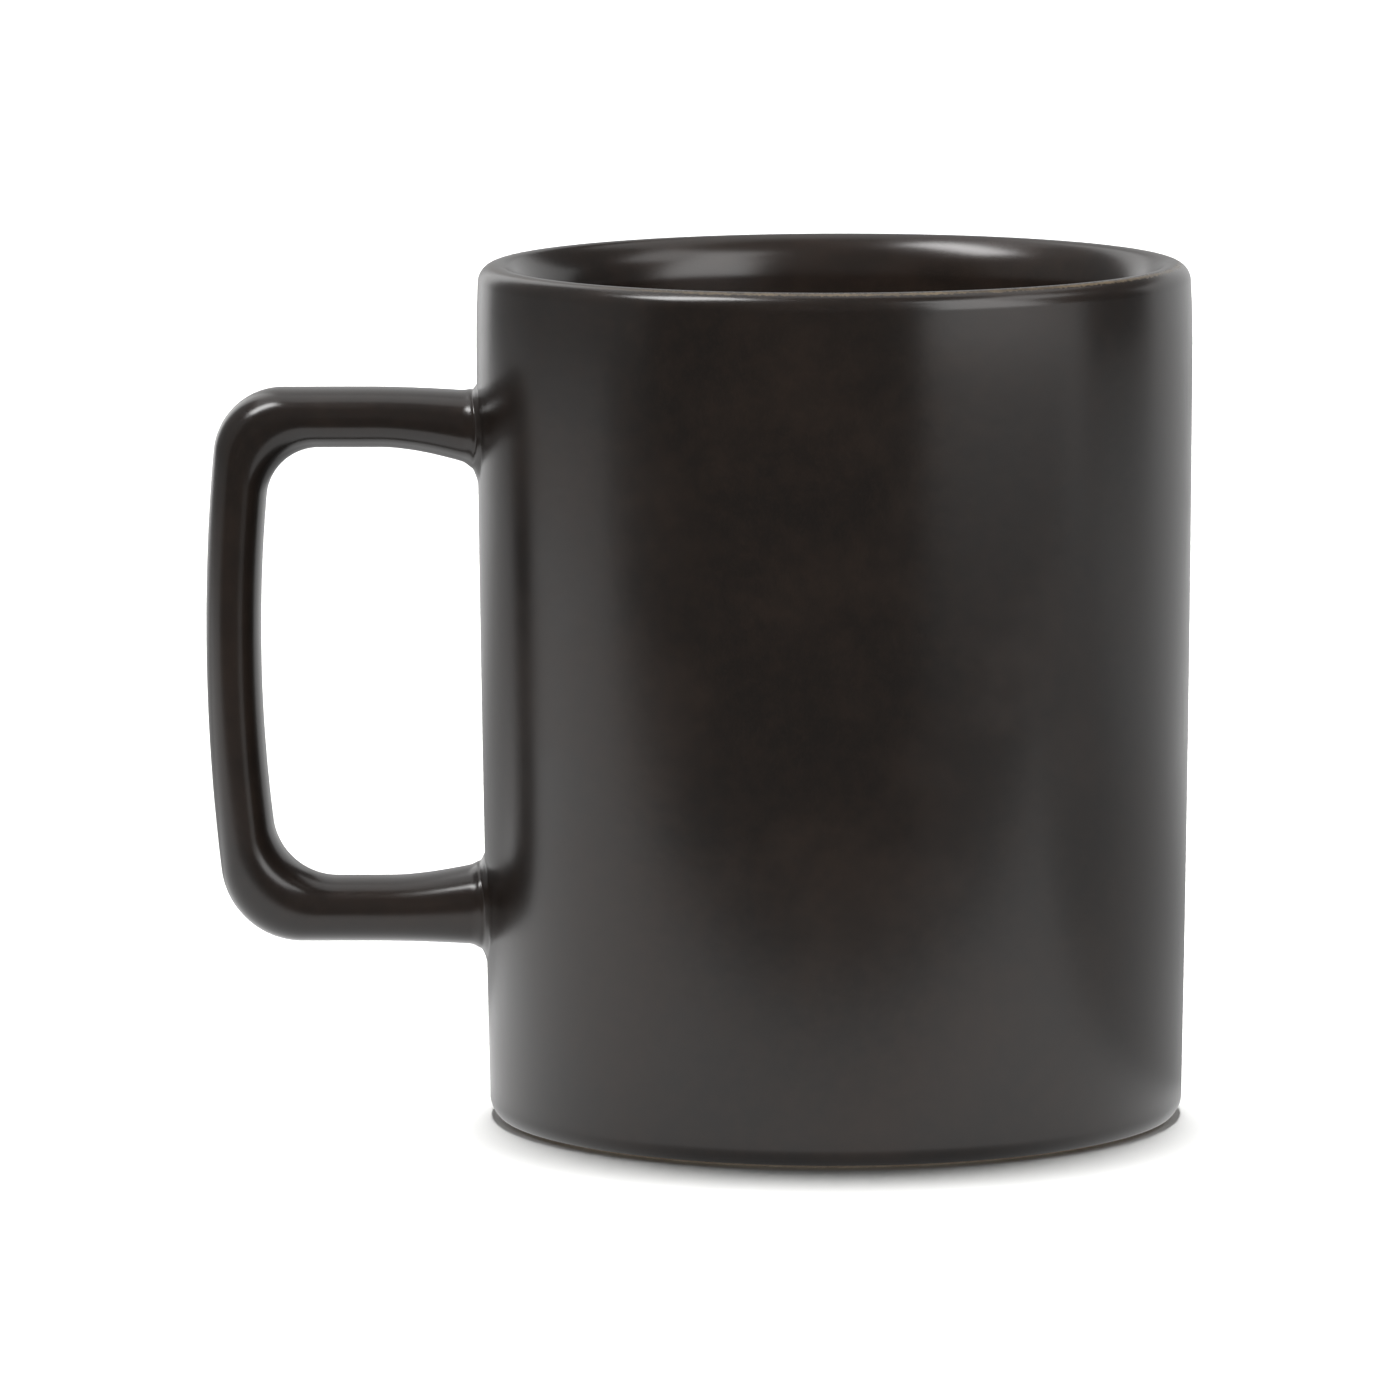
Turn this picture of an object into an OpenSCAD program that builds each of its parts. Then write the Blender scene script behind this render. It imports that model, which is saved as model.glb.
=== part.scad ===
// Straight-sided stoneware mug with a squared, cast handle under a black satin glaze, about half a litre.
// Millimetres, +Z up. The origin is on the cup's axis in the resting plane, and the handle points to -X.

/* [Cup] */

// Height from the resting plane to the crest of the lip
cup_height = 108; // [80:1:140]
// Outer radius that the wall runs up to at the lip
rim_radius = 45; // [35:0.1:60]
// Outer radius that the wall runs down to at the resting plane
base_radius = 43.7; // [30:0.1:60]
// Outward bow of the wall at half height
wall_bow = 0.22; // [0:0.01:1]
// Height at which the wall starts to lean in towards the lip
shoulder_height = 94; // [70:0.5:100]
// How far the wall has leaned in where the roll of the lip starts
shoulder_lean = 0.25; // [0:0.01:1]
// Thickness of the wall below the shoulder, glaze included
wall_thickness = 6.2; // [3.5:0.1:8]
// Rounding of the outside of the lip
lip_outer_round = 2.3; // [1:0.1:3]
// Rounding where the inside of the lip rolls down into the wall
lip_inner_round = 6.5; // [3:0.1:8]
// Height of the drinking floor above the resting plane
floor_height = 6.5; // [4:0.1:12]
// Inside rounding between the wall and the floor
inner_corner = 8; // [2:0.5:16]

/* [Foot] */

// Rounding of the outer foot edge, glaze included
foot_round = 3; // [1:0.1:5]
// Radius of the recess inside the foot ring
recess_radius = 37; // [20:0.5:42]
// Height of the recess above the resting plane, glaze included
recess_depth = 1.8; // [0.5:0.1:3]
// Where the glaze stops on the foot rounding, in degrees from straight down
glaze_line_angle = 45; // [30:1:80]

/* [Glaze] */

// Thickness of the fired glaze
glaze = 0.35; // [0.2:0.05:0.8]

/* [Handle] */

// Distance from the cup's axis to the outside of the grip where it bows out furthest
outer_reach = 79.25; // [60:0.05:95]
// Distance from the cup's axis to the finger side of the grip where it bows out furthest
inner_reach = 72.35; // [55:0.05:90]
// Height at which the grip bows out furthest
grip_middle = 60.5; // [40:0.5:80]
// Radius of the grip's bow on the outside
outer_bow_radius = 257; // [80:1:600]
// Radius of the grip's bow on the finger side
inner_bow_radius = 195; // [80:1:600]
// Height of the upper arm's top side
upper_outer_height = 92.4; // [60:0.05:104]
// Height of the upper arm's finger side
upper_inner_height = 84.9; // [55:0.05:100]
// Height of the lower arm's underside
lower_outer_height = 22.2; // [8:0.05:45]
// Height of the lower arm's finger side
lower_inner_height = 30.3; // [12:0.05:55]
// Outside radius of the upper corner
upper_outer_corner = 8.7; // [4:0.1:20]
// Radius of the upper corner on the finger side
upper_inner_corner = 6.8; // [3:0.1:20]
// Outside radius of the lower corner
lower_outer_corner = 10.3; // [4:0.1:20]
// Radius of the lower corner on the finger side
lower_inner_corner = 8.2; // [3:0.1:20]
// Depth of the handle from front to back
handle_depth = 13; // [6:0.1:24]
// Squareness of the handle's section, where 2 is a plain ellipse
squareness = 2.3; // [2:0.1:4]

/* [Roots] */

// Length over which the arms flare towards the cup
flare_length = 15; // [5:0.5:20]
// Flare of the upper arm on its top side
upper_flare_outer = -0.6; // [-2:0.05:4]
// Flare of the upper arm on the finger side
upper_flare_inner = 2.4; // [-2:0.05:4]
// Flare of the lower arm on its underside
lower_flare_outer = 0.55; // [-2:0.05:4]
// Flare of the lower arm on the finger side
lower_flare_inner = 1.7; // [-2:0.05:4]
// Flare of both arms on each flank
flare_side = 0.7; // [0:0.05:4]
// Length of the fillet that runs from each arm into the wall
fillet_length = 2.2; // [0.5:0.1:5]
// Reach of the upper fillet up the wall
upper_fillet_outer = 1.3; // [0.5:0.1:5]
// Reach of the upper fillet down the wall
upper_fillet_inner = 2.6; // [0.5:0.1:5]
// Reach of the lower fillet down the wall
lower_fillet_outer = 2.4; // [0.5:0.1:5]
// Reach of the lower fillet up the wall
lower_fillet_inner = 1.7; // [0.5:0.1:5]
// Reach of both fillets round the flanks
fillet_side = 1.8; // [0.5:0.1:5]
// Thickness of the slip between the wall and the end of the handle
slip_thickness = 0.6; // [0.3:0.05:1.5]
// Depth of the groove round the seam between slip and handle
seam_groove = 0.2; // [0:0.05:0.6]
// Half the width of that groove
seam_width = 0.35; // [0.1:0.05:0.5]

/* [Hidden] */

$fn = 120;
sides = 28;
wall_steps = 6;
shoulder_steps = 4;
lip_steps = 6;
lip_roll_angle = 50;
corner_steps = 8;
arm_steps = 5;
fillet_steps = 3;
glaze_black = [0.13, 0.12, 0.115];
glaze_liner = [0.1, 0.095, 0.09];
clay = [0.66, 0.58, 0.48];
slip = [0.6, 0.52, 0.43];

function mix(a, b, t) = a + (b - a) * min(1, max(0, t));

lip_height = cup_height - lip_outer_round;

// Radius at height z of the bowed line that the wall follows, without its shoulder
function body_r(z) =
    let (t = z / cup_height)
    base_radius + (rim_radius - base_radius) * t + 4 * wall_bow * t * (1 - t);

// Outer radius of the glazed wall at height z
function wall_r(z) =
    body_r(z) - shoulder_lean * pow(max(0, (z - shoulder_height) / (lip_height - shoulder_height)), 3);

lip_centre = [wall_r(lip_height) - lip_outer_round, lip_height];

// Inside of the lip: a small rounding at the crest runs into a larger roll that ends on the inner wall
lip_reach = lip_centre[0] - body_r(lip_height) + wall_thickness;
crest_round = (lip_reach - lip_inner_round * (1 - cos(lip_roll_angle))) / cos(lip_roll_angle);
crest_centre = [lip_centre[0], cup_height - crest_round];
roll_centre = crest_centre + (lip_inner_round - crest_round) * [cos(lip_roll_angle), -sin(lip_roll_angle)];

foot_centre = [wall_r(foot_round) - foot_round, foot_round - glaze];
corner_height = floor_height + inner_corner;
floor_centre = [body_r(corner_height) - wall_thickness - inner_corner, corner_height];

// Points of an arc in the r-z plane, angles in degrees from the +r direction
function arc(centre, radius, from, to, steps, first = 0) =
    [for (i = [first : steps]) let (a = from + (to - from) * i / steps) centre + radius * [cos(a), sin(a)]];

// Heights between two ends, without the ends themselves
function heights(from, to, steps) = [for (i = [1 : steps - 1]) mix(from, to, i / steps)];
outside_heights = concat(
    heights(foot_centre[1], shoulder_height, wall_steps),
    [shoulder_height],
    heights(shoulder_height, lip_height, shoulder_steps));

// Outside of the cup from the foot up to the crest of the lip, at a depth below the glazed surface
function outer_path(depth, foot_angle) = concat(
    arc(foot_centre, foot_round - depth, foot_angle - 90, 0, lip_steps),
    [for (z = outside_heights) [wall_r(z) - depth, z]],
    arc(lip_centre, lip_outer_round - depth, 0, 90, lip_steps));

// Inside of the cup from the crest of the lip down to the middle of the floor, at a depth below the glaze
function inner_path(depth) = concat(
    arc(crest_centre, crest_round - depth, 90, 180 - lip_roll_angle, lip_steps),
    arc(roll_centre, lip_inner_round - depth, 180 - lip_roll_angle, 180, lip_steps, 1),
    [for (z = heights(roll_centre[1], corner_height, wall_steps)) [body_r(z) - wall_thickness + depth, z]],
    arc(floor_centre, inner_corner + depth, 0, -90, corner_steps),
    [[0, floor_height - depth]]);

function reversed(list) = [for (i = [len(list) - 1 : -1 : 0]) list[i]];

// The handle has two side lines, one outside and one on the finger side. Each is an arm, a corner, the bowed
// grip, a corner and an arm, as [reach, bow radius, upper height, upper corner, lower height, lower corner].
outer_line = [outer_reach, outer_bow_radius, upper_outer_height, upper_outer_corner,
    lower_outer_height, lower_outer_corner];
inner_line = [inner_reach, inner_bow_radius, upper_inner_height, upper_inner_corner,
    lower_inner_height, lower_inner_corner];

function bow_centre(line) = [line[1] - line[0], grip_middle];

// Centre of a corner arc that touches an arm below or above it and the bow of the grip
function corner_centre(line, height, radius) =
    [bow_centre(line)[0] - sqrt(pow(line[1] - radius, 2) - pow(height - grip_middle, 2)), height];
function upper_centre(line) = corner_centre(line, line[2] - line[3], line[3]);
function lower_centre(line) = corner_centre(line, line[4] + line[5], line[5]);

// How far short of a quarter turn each corner stops, where the grip's bow takes over
function upper_rest(line) = asin((upper_centre(line)[1] - grip_middle) / (line[1] - line[3]));
function lower_rest(line) = asin((grip_middle - lower_centre(line)[1]) / (line[1] - line[5]));

function on_arc(centre, radius, angle) = centre + radius * [cos(angle), sin(angle)];

// Point of a side line at station u: 0 to 1 upper root, to 2 upper arm, to 3 corner, to 4 grip, to 5 corner,
// to 6 lower arm, to 7 lower root
function side_point(line, u) =
    let (upper = upper_centre(line))
    let (lower = lower_centre(line))
    let (upper_root = -wall_r(line[2]))
    let (lower_root = -wall_r(line[4]))
    u < 1 ? [upper_root - u * fillet_length, line[2]]
    : u < 2 ? [mix(upper_root - fillet_length, upper[0], u - 1), line[2]]
    : u < 3 ? on_arc(upper, line[3], mix(90, 180 - upper_rest(line), u - 2))
    : u < 4 ? on_arc(bow_centre(line), line[1], mix(180 - upper_rest(line), 180 + lower_rest(line), u - 3))
    : u < 5 ? on_arc(lower, line[5], mix(180 + lower_rest(line), 270, u - 4))
    : u < 6 ? [mix(lower[0], lower_root - fillet_length, u - 5), line[4]]
    : [lower_root - (7 - u) * fillet_length, line[4]];

// Distance from the wall at station u, up to the start of the corner
function wall_distance(u) =
    let (upper = u < 3.5)
    let (line = outer_line)
    let (length = upper ? -upper_centre(line)[0] - wall_r(line[2]) : -lower_centre(line)[0] - wall_r(line[4]))
    let (v = upper ? u : 7 - u)
    v < 1 ? v * fillet_length : mix(fillet_length, length, v - 1);

// What a flare and a fillet add at distance d from the wall, less the groove at the seam
function root_gain(d, flare, reach) =
    let (t = min(1, max(0, 1 - d / fillet_length)))
    let (run = max(0, 1 - d / flare_length))
    let (groove = max(0, 1 - abs(d - slip_thickness) / seam_width))
    flare * run * run + reach * (1 - sqrt(1 - t * t)) - seam_groove * groove;

// Moves a point of an arm so that the arm's end follows the wall at distance d from it
function coped(p, d) =
    let (share = min(1, max(0, 1 - d / flare_length)))
    let (x = -sqrt(pow(wall_r(p[2]) + d, 2) - p[1] * p[1]))
    [mix(p[0], x, share), p[1], p[2]];

// One coordinate of a superellipse, from the sine or cosine of its angle
function squared_off(c) = sign(c) * pow(abs(c), 2 / squareness);

// Section of the handle at station u, below the glaze by depth, shrunk by scale
function ring(u, depth, scale = 1) =
    let (upper = u < 3.5)
    let (d = wall_distance(u))
    let (outer_gain = root_gain(d, upper ? upper_flare_outer : lower_flare_outer,
        upper ? upper_fillet_outer : lower_fillet_outer))
    let (inner_gain = root_gain(d, upper ? upper_flare_inner : lower_flare_inner,
        upper ? upper_fillet_inner : lower_fillet_inner))
    let (outer = side_point(outer_line, u))
    let (inner = side_point(inner_line, u))
    let (out = (outer - inner) / norm(outer - inner))
    let (high = outer + (outer_gain - depth) * out)
    let (low = inner - (inner_gain - depth) * out)
    let (side = handle_depth / 2 - depth + root_gain(d, flare_side, fillet_side))
    [for (i = [0 : sides - 1])
        let (across = scale * squared_off(cos(360 * i / sides)))
        let (p = (high + low) / 2 + across * (high - low) / 2)
        coped([p[0], scale * side * squared_off(sin(360 * i / sides)), p[1]], d)];

// Stations of one root, from the wall to the seam, at the seam, and from the seam to the end of the fillet
seam = slip_thickness / fillet_length;
seam_edge = seam_width / fillet_length;
slip_stations = [for (i = [0 : fillet_steps]) (seam - seam_edge) * i / fillet_steps];
fillet_stations = [for (i = [0 : fillet_steps]) mix(seam + seam_edge, 1, i / fillet_steps)];
handle_middle = concat(
    [for (i = [1 : arm_steps]) 1 + i / arm_steps],
    [for (i = [1 : corner_steps]) 2 + i / corner_steps],
    [for (i = [1 : corner_steps]) 3 + i / corner_steps],
    [for (i = [1 : corner_steps]) 4 + i / corner_steps],
    [for (i = [1 : arm_steps - 1]) 5 + i / arm_steps]);
handle_stations = concat(
    [seam], fillet_stations, handle_middle,
    [for (v = reversed(fillet_stations)) 7 - v], [7 - seam]);
glaze_stations = concat(slip_stations, handle_stations, [for (v = reversed(slip_stations)) 7 - v]);
cap_scales = [0.35, 0.7];

// Triangles between two rings, each given by the index of its first point
function band(a, b) = [for (i = [0 : sides - 1]) let (j = (i + 1) % sides)
    each [[a + i, b + i, b + j], [a + i, b + j, a + j]]];

// Triangles that close a ring onto a single point
function fan(ring_start, tip, flip) = [for (i = [0 : sides - 1]) let (j = (i + 1) % sides)
    flip ? [ring_start + j, ring_start + i, tip] : [ring_start + i, ring_start + j, tip]];

// A closed solid skinned over a list of rings, whose first and last rings close onto a tip point
module skinned(rings, first_tip, last_tip) {
    count = len(rings);
    points = concat([for (r = rings) each r], [first_tip, last_tip]);
    faces = concat(
        [for (k = [0 : count - 2]) each band(k * sides, (k + 1) * sides)],
        fan(0, count * sides, false),
        fan((count - 1) * sides, count * sides + 1, true));
    polyhedron(points, faces, convexity = 6);
}

// An open tube with a skin: the outer rings, then the inner rings back, joined at both ends
module tube_shell(outer_rings, inner_rings) {
    rings = concat(outer_rings, reversed(inner_rings));
    count = len(rings);
    faces = [for (k = [0 : count - 1]) each band(k * sides, ((k + 1) % count) * sides)];
    polyhedron([for (r = rings) each r], faces, convexity = 8);
}

// Clay joint between the wall and one end of the handle; it starts on the clay of the wall, under the glaze
module slip_joint(upper) {
    at = function (v) upper ? v : 7 - v;
    foot = [for (p = ring(at(0), glaze)) coped(p, -glaze)];
    seat = [for (k = cap_scales) [for (p = ring(at(0), glaze, k)) coped(p, -glaze)]];
    flank = [for (v = slip_stations) ring(at(v), glaze)];
    top = ring(at(seam), glaze);
    crown = [for (k = reversed(cap_scales)) ring(at(seam), glaze, k)];
    rings = concat(seat, [foot], flank, [top], crown);
    tips = [coped(ring(at(0), glaze, 0)[0], -glaze), ring(at(seam), glaze, 0)[0]];
    if (upper) skinned(rings, tips[0], tips[1]);
    else skinned(reversed(rings), tips[1], tips[0]);
}

// Opening in the glaze through which one slip joint reaches the clay wall
module root_opening(u) {
    outline = [for (p = ring(u, glaze)) [p[1], p[2]]];
    translate([-rim_radius - 1, 0, 0])
        rotate([90, 0, 90])
            linear_extrude(rim_radius / 2)
                polygon(outline);
}

// Stoneware cup: wall, floor and foot ring in one turned piece
module cup_body() {
    color(clay)
        rotate_extrude()
            polygon(concat(
                [[0, recess_depth], [recess_radius - recess_depth, recess_depth], [recess_radius, 0]],
                outer_path(glaze, 0),
                inner_path(glaze)));
}

// Black glaze on the outside of the cup, from the foot rounding to the crest of the lip
module outer_glaze() {
    color(glaze_black)
        difference() {
            rotate_extrude()
                polygon(concat(
                    outer_path(0, glaze_line_angle),
                    reversed(outer_path(glaze, glaze_line_angle))));
            root_opening(0);
            root_opening(7);
        }
}

// Glaze liner on the inside of the cup, from the crest of the lip to the floor
module inner_glaze() {
    color(glaze_liner)
        rotate_extrude()
            polygon(concat(inner_path(0), reversed(inner_path(glaze))));
}

// Disc of glaze on the recessed underside, inside the bare foot ring
module underside_glaze() {
    color(glaze_black)
        translate([0, 0, recess_depth - glaze])
            cylinder(h = glaze, r1 = recess_radius - recess_depth - glaze, r2 = recess_radius - recess_depth);
}

// Cast stoneware handle between the two seams
module handle() {
    color(clay)
        skinned(
            concat(
                [for (k = cap_scales) ring(seam, glaze, k)],
                [for (u = handle_stations) ring(u, glaze)],
                [for (k = reversed(cap_scales)) ring(7 - seam, glaze, k)]),
            ring(seam, glaze, 0)[0],
            ring(7 - seam, glaze, 0)[0]);
}

// Slip that fixes the upper arm to the wall
module upper_slip_joint() {
    color(slip) slip_joint(true);
}

// Slip that fixes the lower arm to the wall
module lower_slip_joint() {
    color(slip) slip_joint(false);
}

// Glaze over the handle and both slip joints, down to the glaze of the wall
module handle_glaze() {
    color(glaze_black)
        tube_shell(
            [for (u = glaze_stations) ring(u, 0)],
            [for (u = glaze_stations) ring(u, glaze)]);
}

cup_body();
outer_glaze();
inner_glaze();
underside_glaze();
handle();
upper_slip_joint();
lower_slip_joint();
handle_glaze();
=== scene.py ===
"""Looks for the stoneware mug: clay, glaze and tan lip, with its studio of floor, cards, lamps and camera."""

import math

import bpy
from mathutils import Matrix, Vector


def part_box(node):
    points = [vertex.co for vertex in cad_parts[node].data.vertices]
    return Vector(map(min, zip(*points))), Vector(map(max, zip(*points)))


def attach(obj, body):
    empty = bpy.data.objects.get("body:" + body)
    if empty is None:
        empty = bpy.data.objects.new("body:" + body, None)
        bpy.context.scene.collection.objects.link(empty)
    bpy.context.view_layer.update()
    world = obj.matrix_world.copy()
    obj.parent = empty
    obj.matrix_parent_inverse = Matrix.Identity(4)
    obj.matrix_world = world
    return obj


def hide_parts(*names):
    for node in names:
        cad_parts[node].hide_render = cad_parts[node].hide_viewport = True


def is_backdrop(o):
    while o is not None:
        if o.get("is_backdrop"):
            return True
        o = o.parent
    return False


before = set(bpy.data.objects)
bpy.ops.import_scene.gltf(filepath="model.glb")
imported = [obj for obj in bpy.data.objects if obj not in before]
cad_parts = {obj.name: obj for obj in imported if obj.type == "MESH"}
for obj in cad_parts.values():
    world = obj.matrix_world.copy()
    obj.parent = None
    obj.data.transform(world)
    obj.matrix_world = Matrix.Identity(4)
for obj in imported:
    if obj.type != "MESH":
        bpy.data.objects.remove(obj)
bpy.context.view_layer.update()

MM = 0.001

# The cup; heights and the recess come from the boxes of the CAD's nodes
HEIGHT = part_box("inner_glaze")[1].z
RIM_RADIUS = 45 * MM
BASE_RADIUS = 43.7 * MM
WALL_BOW = 0.22 * MM
SHOULDER_HEIGHT = 94 * MM
SHOULDER_LEAN = 0.25 * MM
WALL = 6.2 * MM
GLAZE = 0.35 * MM
LIP_ROUND = 2.3 * MM
LIP_HEIGHT = HEIGHT - LIP_ROUND
LIP_INNER_ROUND = 6.5 * MM
LIP_ROLL_ANGLE = math.radians(50)
FLOOR_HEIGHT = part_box("inner_glaze")[0].z + GLAZE
INNER_CORNER = 8 * MM
FOOT_ROUND = 3 * MM
GLAZE_LINE = math.radians(45)
RECESS_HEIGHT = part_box("underside_glaze")[1].z
RECESS_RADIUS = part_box("underside_glaze")[1].x + RECESS_HEIGHT
TURNS = 288

# The handle; each side line is its reach, bow radius, upper height and corner, and lower height and corner
GRIP_MIDDLE = 60.5 * MM
OUTER_LINE = (-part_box("handle_glaze")[0].x, 257 * MM, 92.4 * MM, 8.7 * MM, 22.2 * MM, 10.3 * MM)
INNER_LINE = (72.35 * MM, 195 * MM, 84.9 * MM, 6.8 * MM, 30.3 * MM, 8.2 * MM)
HANDLE_DEPTH = 13 * MM
SQUARENESS = 2.3
MIDDLE_STATION = 3.5
FLARE_LENGTH = 15 * MM
UPPER_FLARE = (-0.6 * MM, 2.4 * MM)
LOWER_FLARE = (0.55 * MM, 1.7 * MM)
SIDE_FLARE = 0.7 * MM
FILLET_LENGTH = 2.2 * MM
UPPER_FILLET = (1.3 * MM, 2.6 * MM)
LOWER_FILLET = (2.4 * MM, 1.7 * MM)
SIDE_FILLET = 1.8 * MM
SLIP = 0.6 * MM
GROOVE_DEPTH = 0.2 * MM
GROOVE_WIDTH = 0.28 * MM
HANDLE_SIDES = 96


# ---------------------------------------------------------------- shapes


def body_radius(z):
    """Radius at height z of the bowed line that the wall follows, without its shoulder."""
    t = z / HEIGHT
    return BASE_RADIUS + (RIM_RADIUS - BASE_RADIUS) * t + 4 * WALL_BOW * t * (1 - t)


def wall_radius(z):
    """Outer radius of the glazed wall at height z."""
    lean = max(0.0, (z - SHOULDER_HEIGHT) / (LIP_HEIGHT - SHOULDER_HEIGHT))
    return body_radius(z) - SHOULDER_LEAN * lean ** 3


def arc(centre, radius, start, end, steps):
    """Points of an arc in the (radius, height) plane, angles in degrees."""
    angles = [math.radians(start + (end - start) * i / steps) for i in range(steps + 1)]
    return [(centre[0] + radius * math.cos(a), centre[1] + radius * math.sin(a)) for a in angles]


def heights(low, high, steps=40):
    """Heights between two ends, without the ends themselves."""
    return [low + (high - low) * i / steps for i in range(1, steps)]


LIP_CENTRE = (wall_radius(LIP_HEIGHT) - LIP_ROUND, LIP_HEIGHT)
LIP_REACH = LIP_CENTRE[0] - body_radius(LIP_HEIGHT) + WALL
CREST_ROUND = (LIP_REACH - LIP_INNER_ROUND * (1 - math.cos(LIP_ROLL_ANGLE))) / math.cos(LIP_ROLL_ANGLE)
CREST_CENTRE = (LIP_CENTRE[0], HEIGHT - CREST_ROUND)
ROLL_CENTRE = (CREST_CENTRE[0] + (LIP_INNER_ROUND - CREST_ROUND) * math.cos(LIP_ROLL_ANGLE),
    CREST_CENTRE[1] - (LIP_INNER_ROUND - CREST_ROUND) * math.sin(LIP_ROLL_ANGLE))
FOOT_CENTRE = (wall_radius(FOOT_ROUND) - FOOT_ROUND, FOOT_ROUND - GLAZE)
CORNER_HEIGHT = FLOOR_HEIGHT + INNER_CORNER
CORNER_CENTRE = (body_radius(CORNER_HEIGHT) - WALL - INNER_CORNER, CORNER_HEIGHT)


def outer_path(depth, foot_angle):
    """Outside of the cup from the foot to the crest of the lip, at a depth below the glazed surface."""
    foot = arc(FOOT_CENTRE, FOOT_ROUND - depth, foot_angle - 90, 0, 14)
    lip = arc(LIP_CENTRE, LIP_ROUND - depth, 0, 90, 20)
    return foot + [(wall_radius(z) - depth, z) for z in heights(FOOT_CENTRE[1], LIP_HEIGHT)] + lip


def inner_path(depth):
    """Inside of the cup from the crest of the lip to the middle of the floor."""
    turn = 180 - math.degrees(LIP_ROLL_ANGLE)
    crest = arc(CREST_CENTRE, CREST_ROUND - depth, 90, turn, 12)
    roll = arc(ROLL_CENTRE, LIP_INNER_ROUND - depth, turn, 180, 20)[1:]
    wall = [(body_radius(z) - WALL + depth, z) for z in heights(ROLL_CENTRE[1], CORNER_HEIGHT)]
    corner = arc(CORNER_CENTRE, INNER_CORNER + depth, 0, -90, 18)
    floor = FLOOR_HEIGHT - depth
    return crest + roll + wall + corner + [(CORNER_CENTRE[0] * k, floor) for k in (0.75, 0.5, 0.25, 0)]


def add_mesh(name, points, faces, sharp=40):
    """A smooth-shaded object, with edges sharper than an angle in degrees left crisp."""
    mesh = bpy.data.meshes.new(name)
    mesh.from_pydata(points, [], faces)
    mesh.validate()
    mesh.shade_smooth()
    mesh.set_sharp_from_angle(angle=math.radians(sharp))
    piece = bpy.data.objects.new(name, mesh)
    bpy.context.scene.collection.objects.link(piece)
    return piece


def revolved(name, outline):
    """Turns a closed outline of (radius, height) points about the Z axis; points at radius 0 become poles."""
    points, rows = [], []
    for radius, height in outline:
        if radius < 1e-9:
            rows.append([len(points)] * TURNS)
            points.append((0, 0, height))
            continue
        rows.append(range(len(points), len(points) + TURNS))
        for i in range(TURNS):
            a = 2 * math.pi * i / TURNS
            points.append((radius * math.cos(a), radius * math.sin(a), height))
    faces = []
    for low, high in zip(rows, rows[1:] + rows[:1]):
        for i in range(TURNS):
            j = (i + 1) % TURNS
            corners = list(dict.fromkeys((low[i], low[j], high[j], high[i])))
            if len(corners) > 2:
                faces.append(corners)
    return add_mesh(name, points, faces)


def clamp(t):
    return min(1.0, max(0.0, t))


def mix(a, b, t):
    return a + (b - a) * t


class SideLine:
    """One side of the handle from the front: an arm, a corner, the bowed grip, a corner and an arm."""

    def __init__(self, reach, bow, upper, upper_corner, lower, lower_corner):
        self.bow, self.bow_centre = bow, (bow - reach, GRIP_MIDDLE)
        self.upper, self.upper_corner, self.upper_root = upper, upper_corner, -wall_radius(upper)
        self.lower, self.lower_corner, self.lower_root = lower, lower_corner, -wall_radius(lower)
        self.upper_centre = self.corner(upper - upper_corner, upper_corner)
        self.lower_centre = self.corner(lower + lower_corner, lower_corner)
        self.upper_turn = self.turn(self.upper_centre, upper_corner)
        self.lower_turn = self.turn(self.lower_centre, lower_corner)

    def corner(self, height, radius):
        """Centre of a corner arc that touches both the arm and the bow."""
        reach = math.sqrt((self.bow - radius) ** 2 - (height - GRIP_MIDDLE) ** 2)
        return (self.bow_centre[0] - reach, height)

    def turn(self, centre, radius):
        """Angle at which the corner meets the bow, in degrees."""
        return 180 - math.degrees(math.asin((centre[1] - GRIP_MIDDLE) / (self.bow - radius)))

    def on_arc(self, centre, radius, angle):
        a = math.radians(angle)
        return Vector((centre[0] + radius * math.cos(a), centre[1] + radius * math.sin(a)))

    def point(self, u):
        """Point at station u: to 1 upper root, 2 arm, 3 corner, 4 grip, 5 corner, 6 arm, 7 lower root."""
        if u < 1:
            return Vector((self.upper_root - u * FILLET_LENGTH, self.upper))
        if u < 2:
            return Vector((mix(self.upper_root - FILLET_LENGTH, self.upper_centre[0], u - 1), self.upper))
        if u < 3:
            return self.on_arc(self.upper_centre, self.upper_corner, mix(90, self.upper_turn, u - 2))
        if u < 4:
            return self.on_arc(self.bow_centre, self.bow, mix(self.upper_turn, self.lower_turn, u - 3))
        if u < 5:
            return self.on_arc(self.lower_centre, self.lower_corner, mix(self.lower_turn, 270, u - 4))
        if u < 6:
            return Vector((mix(self.lower_centre[0], self.lower_root - FILLET_LENGTH, u - 5), self.lower))
        return Vector((self.lower_root - (7 - u) * FILLET_LENGTH, self.lower))

    def wall_distance(self, u):
        """Distance from the wall at station u, up to the start of the corner."""
        upper_arm, lower_arm = self.upper_root - self.upper_centre[0], self.lower_root - self.lower_centre[0]
        v, arm = (u, upper_arm) if u < MIDDLE_STATION else (7 - u, lower_arm)
        return v * FILLET_LENGTH if v < 1 else mix(FILLET_LENGTH, arm, clamp(v - 1))


OUTSIDE, FINGER_SIDE = SideLine(*OUTER_LINE), SideLine(*INNER_LINE)


def root_gain(d, flare, reach):
    """What a flare and a fillet add at distance d from the wall, less the groove at the seam."""
    t = clamp(1 - d / FILLET_LENGTH)
    run = max(0.0, 1 - d / FLARE_LENGTH)
    groove = GROOVE_DEPTH * math.exp(-(((d - SLIP) / GROOVE_WIDTH) ** 2))
    return flare * run * run + reach * (1 - math.sqrt(1 - t * t)) - groove


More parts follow.
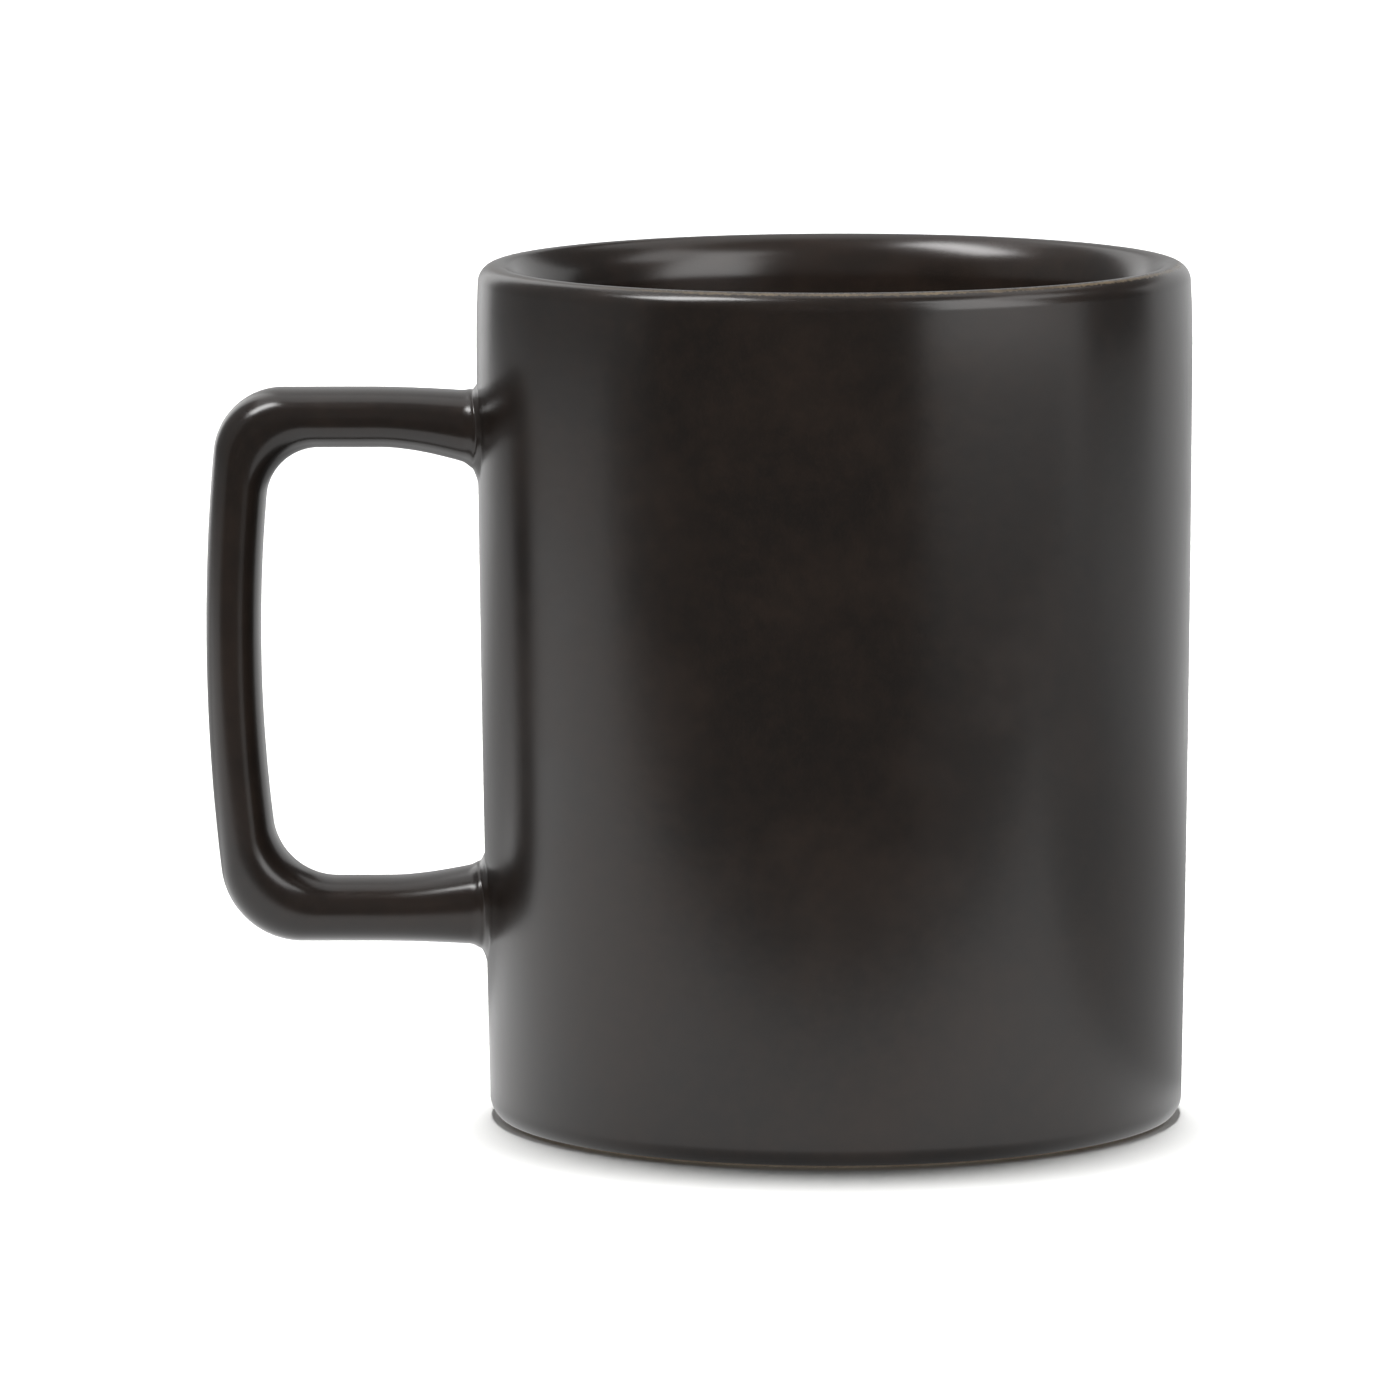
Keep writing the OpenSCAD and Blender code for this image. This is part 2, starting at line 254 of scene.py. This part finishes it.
def superellipse(angle):
    c, s = math.cos(angle), math.sin(angle)
    power = 2 / SQUARENESS
    return math.copysign(abs(c) ** power, c), math.copysign(abs(s) ** power, s)


def handle_ring(u, depth):
    """Section of the handle at station u, at a depth below the glazed surface."""
    d = OUTSIDE.wall_distance(u)
    flare, fillet = (UPPER_FLARE, UPPER_FILLET) if u < MIDDLE_STATION else (LOWER_FLARE, LOWER_FILLET)
    outer, inner = OUTSIDE.point(u), FINGER_SIDE.point(u)
    out = (outer - inner).normalized()
    high = outer + (root_gain(d, flare[0], fillet[0]) - depth) * out
    low = inner - (root_gain(d, flare[1], fillet[1]) - depth) * out
    side = HANDLE_DEPTH / 2 - depth + root_gain(d, SIDE_FLARE, SIDE_FILLET)
    follow = clamp(1 - d / FLARE_LENGTH)
    ring = []
    for i in range(HANDLE_SIDES):
        across, along = superellipse(2 * math.pi * i / HANDLE_SIDES)
        x, z = (high + low) / 2 + across * (high - low) / 2
        y = along * side
        coped = -math.sqrt((wall_radius(z) + d) ** 2 - y * y)
        ring.append((mix(x, coped, follow), y, z))
    return ring


def handle_stations():
    """Stations along the handle, closest together at the fillets and their grooves."""
    root = [1 - math.cos(math.radians(3 * i)) for i in range(31)]
    arm = [1 + i / 24 for i in range(1, 24)]
    upper_corner = [2 + i / 30 for i in range(30)]
    grip = [3 + i / 48 for i in range(49)]
    lower_corner = [4 + i / 30 for i in range(1, 31)]
    return root + arm + upper_corner + grip + lower_corner + [7 - v for v in reversed(root + arm)]


def handle_shell(name):
    """The glaze over the handle: an outer and an inner skin joined where they meet the wall."""
    stations = handle_stations()
    rings = [handle_ring(u, 0) for u in stations] + [handle_ring(u, GLAZE) for u in reversed(stations)]
    points = [p for ring in rings for p in ring]
    faces = []
    for k in range(len(rings)):
        a, b = k * HANDLE_SIDES, (k + 1) % len(rings) * HANDLE_SIDES
        for i in range(HANDLE_SIDES):
            j = (i + 1) % HANDLE_SIDES
            faces.append((a + i, b + i, b + j, a + j))
    return add_mesh(name, points, faces, sharp=50)


# ---------------------------------------------------------------- materials


class Nodes:
    """A material's node tree, with short ways to add and join nodes."""

    def __init__(self, name):
        self.material = bpy.data.materials.new(name)
        self.material.use_nodes = True
        self.tree = self.material.node_tree
        self.shader = self.tree.nodes["Principled BSDF"]
        self.place = self.add("ShaderNodeTexCoord").outputs["Object"]

    def add(self, kind, **inputs):
        node = self.tree.nodes.new(kind)
        for key, value in inputs.items():
            self.feed(node.inputs[key.replace("_", " ")], value)
        return node

    def feed(self, socket, value):
        if isinstance(value, bpy.types.NodeSocket):
            self.tree.links.new(value, socket)
        else:
            socket.default_value = value

    def noise(self, size, detail=2.0, roughness=0.5, place=None):
        """Noise whose features are about `size` across."""
        node = self.add("ShaderNodeTexNoise", Vector=place or self.place, Scale=1 / size)
        node.inputs["Detail"].default_value = detail
        node.inputs["Roughness"].default_value = roughness
        return node.outputs["Fac"]

    def remap(self, value, low, high, out_low=0.0, out_high=1.0):
        node = self.add("ShaderNodeMapRange", Value=value)
        node.interpolation_type = "SMOOTHSTEP"
        for key, number in zip(("From Min", "From Max", "To Min", "To Max"), (low, high, out_low, out_high)):
            self.feed(node.inputs[key], number)
        return node.outputs["Result"]

    def math(self, operation, *values):
        node = self.tree.nodes.new("ShaderNodeMath")
        node.operation = operation
        for socket, value in zip(node.inputs, values):
            self.feed(socket, value)
        return node.outputs["Value"]

    def mix(self, share, first, second):
        node = self.tree.nodes.new("ShaderNodeMix")
        node.data_type = "RGBA"
        self.feed(node.inputs["Factor"], share)
        for socket, colour in zip((node.inputs[6], node.inputs[7]), (first, second)):
            self.feed(socket, (*colour, 1) if isinstance(colour, tuple) else colour)
        return node.outputs[2]

    def bump(self, height, distance, strength=1.0, normal=None):
        node = self.add("ShaderNodeBump", Height=height, Strength=strength, Distance=distance)
        if normal is not None:
            self.feed(node.inputs["Normal"], normal)
        return node.outputs["Normal"]

    def axes(self):
        node = self.add("ShaderNodeSeparateXYZ", Vector=self.place)
        return node.outputs["X"], node.outputs["Y"], node.outputs["Z"]

    def radius(self, x, y):
        """Distance from the cup's axis."""
        return self.math("SQRT", self.math("ADD", self.math("MULTIPLY", x, x), self.math("MULTIPLY", y, y)))

    def along(self, x, y, direction):
        """How far a place lies in a direction on the table."""
        sideways = self.math("MULTIPLY", x, direction[0])
        return self.math("ADD", sideways, self.math("MULTIPLY", y, direction[1]))


GLAZE_DEEP = (0.0085, 0.0066, 0.0056)
GLAZE_WARM = (0.0155, 0.0105, 0.0080)
GLAZE_SPECK = (0.022, 0.016, 0.013)
LIP_TAN = (0.105, 0.076, 0.042)
GLAZE_ROUGHNESS = 0.24

# The tan glaze break lies between these angles up the outer round of the lip; it is painted stronger towards
# the lit front right, which is painted light
TAN_RISE = (math.radians(58), math.radians(66))
TAN_FALL = (math.radians(72), math.radians(82))
TAN_LIT_SIDE = (0.5, -0.87)

# Pale and dark clay, the same for the slip, and the iron spots in both
CLAY_COLOURS = ((0.50, 0.40, 0.30), (0.36, 0.27, 0.19))
SLIP_COLOURS = ((0.44, 0.34, 0.25), (0.30, 0.22, 0.15))
IRON_SPOT = (0.10, 0.052, 0.028)


def glaze_material(name, roughness, lip):
    """Satin black glaze: warm clouds, fine specks, an orange-peel skin, and a tan break along the lip,
    painted stronger on the lit front right as painted light.
    """
    n = Nodes(name)
    clouds = n.remap(n.noise(22 * MM, 3, 0.6), 0.38, 0.66)
    fine = n.remap(n.noise(2.2 * MM, 3, 0.6), 0.35, 0.7)
    tone = n.math("ADD", n.math("MULTIPLY", clouds, 0.6), n.math("MULTIPLY", fine, 0.4))
    colour = n.mix(tone, GLAZE_DEEP, GLAZE_WARM)
    specks = n.remap(n.noise(0.25 * MM, 1, 0.5), 0.45, 0.75)
    colour = n.mix(n.math("MULTIPLY", specks, 0.25), colour, GLAZE_SPECK)
    rough = n.remap(clouds, 0, 1, roughness - 0.015, roughness + 0.015)
    if lip:
        shown = lip_break(n)
        colour = n.mix(shown, colour, LIP_TAN)
        rough = n.math("ADD", rough, n.math("MULTIPLY", shown, 0.12))
    n.feed(n.shader.inputs["Base Color"], colour)
    n.feed(n.shader.inputs["Roughness"], rough)
    peel = n.bump(n.noise(1.6 * MM, 2, 0.5), 0.006 * MM)
    grain = n.bump(n.noise(0.28 * MM, 1, 0.5), 0.0012 * MM, normal=peel)
    n.feed(n.shader.inputs["Normal"], grain)
    return n.material


def lip_break(n):
    """How much tan shows: a narrow ragged line on the outer round of the lip where the glaze has run thin,
    painted stronger towards the lit front right as painted light.
    """
    x, y, z = n.axes()
    radius = n.radius(x, y)
    outwards = n.math("SUBTRACT", radius, LIP_CENTRE[0])
    upwards = n.math("SUBTRACT", z, LIP_CENTRE[1])
    angle = n.math("ARCTAN2", upwards, outwards)
    fray = n.math("MULTIPLY", n.math("SUBTRACT", n.noise(0.7 * MM, 3, 0.7), 0.5), 0.5)
    place = n.math("ADD", angle, fray)
    rise = n.remap(place, *TAN_RISE)
    fall = n.remap(place, *TAN_FALL, 1.0, 0.0)
    # Painted light: the tan is painted strongest towards the lit front right and faint at the back
    towards = n.math("DIVIDE", n.along(x, y, TAN_LIT_SIDE), radius)
    side = n.remap(towards, 0.2, 0.95, 0.12, 1.0)
    patchy = n.remap(n.noise(5 * MM, 3, 0.6), 0.3, 0.62, 0.35, 1.0)
    return n.math("MULTIPLY", n.math("MULTIPLY", rise, fall), n.math("MULTIPLY", side, patchy))


def stoneware_material(name, pale, dark):
    """Unglazed fired clay: sandy grain, iron specks and a dry, slightly pitted face."""
    n = Nodes(name)
    cloud = n.remap(n.noise(9 * MM, 4, 0.6), 0.35, 0.7)
    colour = n.mix(cloud, pale, dark)
    grain = n.noise(0.45 * MM, 2, 0.6)
    colour = n.mix(n.remap(grain, 0.45, 0.75, 0, 0.5), colour, dark)
    iron = n.remap(n.noise(0.9 * MM, 1, 0.5), 0.70, 0.76)
    colour = n.mix(n.math("MULTIPLY", iron, 0.8), colour, IRON_SPOT)
    n.feed(n.shader.inputs["Base Color"], colour)
    n.feed(n.shader.inputs["Roughness"], n.remap(grain, 0.3, 0.7, 0.78, 0.92))
    n.feed(n.shader.inputs["Normal"], n.bump(grain, 0.05 * MM, 0.8))
    return n.material


# ---------------------------------------------------------------- the mug


def dress(piece, material, replaced):
    """Rides a piece on the mug's one body, in place of a CAD node."""
    piece.data.materials.append(material)
    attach(piece, "root")
    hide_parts(replaced)


def build_mug():
    outer = glaze_material("satin_black_glaze", GLAZE_ROUGHNESS, lip=True)
    liner = glaze_material("liner_glaze", GLAZE_ROUGHNESS, lip=True)
    plain = glaze_material("handle_glaze", GLAZE_ROUGHNESS, lip=False)
    clay = stoneware_material("bare_stoneware", *CLAY_COLOURS)
    slip = stoneware_material("fired_slip", *SLIP_COLOURS)

    skin = outer_path(0, math.degrees(GLAZE_LINE)) + outer_path(GLAZE, math.degrees(GLAZE_LINE))[::-1]
    dress(revolved("cup_glaze_skin", skin), outer, "outer_glaze")

    lining = inner_path(0) + inner_path(GLAZE)[::-1]
    dress(revolved("cup_liner_skin", lining), liner, "inner_glaze")

    recess_edge = (RECESS_RADIUS - RECESS_HEIGHT, RECESS_HEIGHT)
    underneath = [(0, RECESS_HEIGHT), recess_edge, (RECESS_RADIUS, 0)]
    clay_cup = underneath + outer_path(GLAZE, 0) + inner_path(GLAZE)
    dress(revolved("cup_stoneware", clay_cup), clay, "cup_body")

    disc_height = RECESS_HEIGHT - GLAZE
    disc = [(0, disc_height), (recess_edge[0] - GLAZE, disc_height), recess_edge, (0, RECESS_HEIGHT)]
    dress(revolved("underside_glaze_disc", disc), plain, "underside_glaze")

    dress(handle_shell("handle_glaze_skin"), plain, "handle_glaze")

    # These three stay the CAD's own nodes and only take a material
    for node, material in (("handle", clay), ("upper_slip_joint", slip), ("lower_slip_joint", slip)):
        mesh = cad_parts[node].data
        mesh.materials.clear()
        mesh.materials.append(material)


# ---------------------------------------------------------------- the studio

# The camera's place in metres, its turns in radians, and its lens and sensor in millimetres
CAMERA_DISTANCE = 1.329
CAMERA_HEIGHT = 0.2252
CAMERA_PITCH = math.radians(7.397)
CAMERA_YAW = math.radians(-0.734)
CAMERA_ROLL = math.radians(-0.2)
LENS = 273.2
SENSOR = 36

# The floor lies a hair under the foot, so that the two faces don't coincide
FLOOR_HALF = 30
FLOOR_GAP = 0.02 * MM
FLOOR_COLOUR = (0.9, 0.9, 0.89, 1)
ROOM_LIGHT = 0.09
ROOM_SEEN = 1.2

# Cards that the glaze reflects, in metres about the mug. The table and the ceiling are x0, y0, x1, y1
TABLE_CARD = (-0.75, -0.16, 0.95, 0.9)
CEILING_CARD = (-0.7, 0.1, 0.7, 0.95)
CEILING_HEIGHT = 1.15
CEILING_STRENGTH = 1.0
SHADE_SIDE = (0.5, 0.87)

# Name, start and end on the table, bottom, top and strength
STANDING_CARDS = (
    ("low_card_right", (0.47, -0.88), (1.0, -0.09), 0, 0.18, 1.4),
    ("high_card_right", (0.53, -0.85), (0.94, -0.34), 0.18, 0.9, 4.0),
    ("wall_front_left", (-0.9, -0.5), (-0.97, 0.26), 0, 0.8, 0.33),
    ("wall_left", (-0.97, 0.26), (-0.57, 0.82), 0, 1.1, 0.25),
    ("wall_back_left", (-0.57, 0.82), (-0.28, 0.93), 0, 1.1, 1.45),
    ("wall_back", (-0.28, 0.93), (0.15, 1.0), 0, 1.1, 0.6),
    ("wall_back_right", (0.15, 1.0), (0.87, 0.5), 0, 0.5, 0.88),
)

# Name, place, width, height and strength; each faces a point just under the lip
UPPER_CARDS = (
    ("upper_left", (-0.59, -0.10, 1.14), 0.34, 0.55, 15),
    ("upper_right", (0.66, -0.52, 0.98), 0.45, 0.45, 4.2),
    ("upper_far_right", (0.82, -0.08, 0.98), 0.45, 0.45, 2.6),
)
CARD_AIM = (0, 0, 0.1)

# Name, place, aim, size and power of the softboxes, which light the mug but show in no reflection
SOFTBOXES = (
    ("overhead", (0, -0.1, 1.1), (0, 0, 0), (1.2, 1.2), 15),
    ("front_fill", (-0.2, -1.2, 0.6), (0, 0, 0.05), (0.8, 0.8), 20),
)

# Name, direction, strength and spread in degrees of the suns, which light only the floor
FLOOR_SUNS = (
    ("floor_light", (0, 0.13, 1), 5.2, 15),
    ("floor_light_left", (-1, 0.6, 1), 0.6, 40),
    ("floor_light_right", (1, 0.6, 1), 0.6, 40),
)

# The lamp under the floor, which lights the foot ring for views from below
UNDER_DEPTH = 0.01
UNDER_POWER = 0.02
UNDER_SPREAD = math.radians(4)


def add_camera():
    """A long lens at the photograph's viewing angle."""
    cp, sp, cy, sy = (f(a) for a in (CAMERA_PITCH, CAMERA_YAW) for f in (math.cos, math.sin))
    forward = Vector((sy * cp, cy * cp, -sp))
    right = Vector((cy, -sy, 0))
    up = right.cross(forward)
    turned_right = right * math.cos(CAMERA_ROLL) + up * math.sin(CAMERA_ROLL)
    turned_up = up * math.cos(CAMERA_ROLL) - right * math.sin(CAMERA_ROLL)
    data = bpy.data.cameras.new("camera")
    data.lens, data.sensor_width = LENS, SENSOR
    data.clip_start, data.clip_end = 0.01, 50
    camera = bpy.data.objects.new("camera", data)
    bpy.context.scene.collection.objects.link(camera)
    axes = Matrix((turned_right, turned_up, -forward)).transposed().to_4x4()
    camera.matrix_world = Matrix.Translation((0, -CAMERA_DISTANCE, CAMERA_HEIGHT)) @ axes
    bpy.context.scene.camera = camera


def emitter(name, strength):
    """A plain white glow; its strength is a number, or a function that works it out with nodes."""
    n = Nodes(name)
    n.tree.nodes.remove(n.shader)
    glow = n.add("ShaderNodeEmission", Strength=strength(n) if callable(strength) else strength)
    n.feed(n.tree.nodes["Material Output"].inputs["Surface"], glow.outputs["Emission"])
    return n.material


def table_light(n):
    """Strength of the white table's glow: less to the right and the back, with a painted contact shadow round
    the mug's foot, a painted shadow in front of the mug in the middle, and painted shade behind it.
    """
    x, y, _ = n.axes()
    radius = n.radius(x, y)
    sideways = n.math("ABSOLUTE", x)
    across = n.remap(x, 0.02, 0.35, 1.33, 0.98)
    # Painted shadow of the mug on the table in front of it: the glow is dimmer in the middle
    middle = n.remap(sideways, 0.0, 0.12, 0.8, 1.0)
    # Painted contact shadow: the glow is dimmer round the foot, less so at the sides
    painted_contact_shadow = n.remap(radius, 0.0445, 0.056, n.remap(sideways, 0.015, 0.04, 0.4, 0.8), 1.0)
    depth = n.remap(y, 0.05, 0.2, 1.0, 0.75)
    behind = n.along(x, y, SHADE_SIDE)
    shade = n.math("MAXIMUM", n.remap(behind, 0.02, 0.07, 1.0, 0.0), n.remap(behind, 0.16, 0.38, 0.5, 1.0))
    glow = n.math("MULTIPLY", n.math("MULTIPLY", across, middle), n.math("MULTIPLY", painted_contact_shadow, depth))
    return n.math("MULTIPLY", glow, shade)


def stage_panel(name, corners, material):
    """A four-cornered panel that belongs to the stage, not to the mug."""
    mesh = bpy.data.meshes.new(name)
    mesh.from_pydata(corners, [], [(0, 1, 2, 3)])
    mesh.materials.append(material)
    panel = bpy.data.objects.new(name, mesh)
    bpy.context.scene.collection.objects.link(panel)
    panel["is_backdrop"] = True
    return panel


def linked(name, pieces):
    """A collection of objects that a light is limited to, or that cast its shadows."""
    group = bpy.data.collections.new(name)
    for piece in pieces:
        group.objects.link(piece)
    return group


def softbox(name, place, aim, size, power, receivers):
    """A rectangular lamp that lights only its receivers."""
    data = bpy.data.lights.new(name, "AREA")
    data.shape = "RECTANGLE"
    data.size, data.size_y = size
    data.energy = power
    return hung(data, name, place, aim, receivers)


def hung(data, name, place, aim, receivers):
    """Hangs a light at a place, turned towards its aim, lighting only its receivers."""
    lamp = bpy.data.objects.new(name, data)
    bpy.context.scene.collection.objects.link(lamp)
    lamp.location = place
    lamp.rotation_mode = "QUATERNION"
    lamp.rotation_quaternion = (Vector(aim) - Vector(place)).to_track_quat("-Z", "Y")
    lamp.visible_camera = False
    lamp.light_linking.receiver_collection = receivers
    return lamp


def build_world(light, seen):
    """A dim room of strength `light` that the camera sees at strength `seen`, as plain white."""
    world = bpy.data.worlds.new("studio")
    bpy.context.scene.world = world
    world.use_nodes = True
    tree = world.node_tree
    dim = tree.nodes["Background"]
    white = tree.nodes.new("ShaderNodeBackground")
    for background, strength in ((dim, light), (white, seen)):
        background.inputs["Color"].default_value = (1, 1, 1, 1)
        background.inputs["Strength"].default_value = strength
    rays = tree.nodes.new("ShaderNodeLightPath")
    pick = tree.nodes.new("ShaderNodeMixShader")
    tree.links.new(rays.outputs["Is Camera Ray"], pick.inputs["Fac"])
    tree.links.new(dim.outputs[0], pick.inputs[1])
    tree.links.new(white.outputs[0], pick.inputs[2])
    tree.links.new(pick.outputs[0], tree.nodes["World Output"].inputs["Surface"])


def build_floor():
    """A pale floor that is clear from below, so that the underside of the mug can be looked at."""
    n = Nodes("pale_floor")
    n.shader.inputs["Base Color"].default_value = FLOOR_COLOUR
    n.shader.inputs["Roughness"].default_value = 1
    n.shader.inputs["Specular IOR Level"].default_value = 0
    below = n.add("ShaderNodeNewGeometry").outputs["Backfacing"]
    pick = n.add("ShaderNodeMixShader", Fac=below)
    n.feed(pick.inputs[1], n.shader.outputs["BSDF"])
    n.feed(pick.inputs[2], n.add("ShaderNodeBsdfTransparent").outputs["BSDF"])
    n.feed(n.tree.nodes["Material Output"].inputs["Surface"], pick.outputs["Shader"])
    corners = flat(-FLOOR_HALF, -FLOOR_HALF, FLOOR_HALF, FLOOR_HALF, -FLOOR_GAP)
    ground = stage_panel("floor", corners, n.material)
    ground.visible_glossy = False
    ground.visible_diffuse = False
    return ground


def card(name, corners, strength):
    """A white card that shows in the glaze's reflections and nowhere else."""
    panel = stage_panel(name + "_in_reflections", corners, emitter(name, strength))
    panel.visible_camera = False
    panel.visible_diffuse = False
    panel.visible_shadow = False


def flat(x0, y0, x1, y1, z=0.0):
    """Corners of a level rectangle."""
    return [(x0, y0, z), (x1, y0, z), (x1, y1, z), (x0, y1, z)]


def standing(start, end, low, high):
    """Corners of an upright rectangle over a line on the table."""
    return [(*start, low), (*end, low), (*end, high), (*start, high)]


def facing(place, aim, width, height):
    """Corners of a rectangle at a place, turned to face its aim."""
    middle = Vector(place)
    towards = (Vector(aim) - middle).normalized()
    side = towards.cross(Vector((0, 0, 1))).normalized()
    rise = side.cross(towards)
    signs = ((-1, -1), (1, -1), (1, 1), (-1, 1))
    return [middle + side * width * a / 2 + rise * height * b / 2 for a, b in signs]


def add_cards():
    card("table", flat(*TABLE_CARD), table_light)
    for name, start, end, low, high, strength in STANDING_CARDS:
        card(name, standing(start, end, low, high), strength)
    card("ceiling_back", flat(*CEILING_CARD, CEILING_HEIGHT), CEILING_STRENGTH)
    for name, place, width, height, strength in UPPER_CARDS:
        card(name, facing(place, CARD_AIM, width, height), strength)


def add_under_glow(mug):
    """A weak, narrow lamp under the floor, which only the mug receives and only the mug blocks."""
    glow = bpy.data.lights.new("under_glow", "AREA")
    glow.shape, glow.size = "DISK", 2 * FOOT_CENTRE[0]
    glow.energy, glow.spread = UNDER_POWER, UNDER_SPREAD
    lamp = hung(glow, "under_glow", (0, 0, -UNDER_DEPTH), (0, 0, 0), mug)
    lamp.light_linking.blocker_collection = mug
    lamp.visible_glossy = False


def add_floor_suns(ground, cup):
    """Suns that light the floor alone, with the shadow of the cup but not of its handle."""
    floor_only = linked("floor_only", [ground])
    for name, place, strength, spread in FLOOR_SUNS:
        daylight = bpy.data.lights.new(name, "SUN")
        daylight.energy, daylight.angle = strength, math.radians(spread)
        sun = hung(daylight, name, place, (0, 0, 0), floor_only)
        sun.visible_glossy = False
        sun.light_linking.blocker_collection = cup


def build_studio():
    bpy.context.scene.view_settings.view_transform = "Standard"
    build_world(ROOM_LIGHT, ROOM_SEEN)
    ground = build_floor()
    add_cards()

    parts = [piece for piece in bpy.context.scene.objects if piece.type == "MESH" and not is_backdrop(piece)]
    mug = linked("mug", parts)
    cup = linked("cup", [piece for piece in parts if piece.name.startswith("cup_")])
    for name, place, aim, size, power in SOFTBOXES:
        softbox(name, place, aim, size, power, mug).visible_glossy = False
    add_under_glow(mug)
    add_floor_suns(ground, cup)


build_mug()
add_camera()
build_studio()
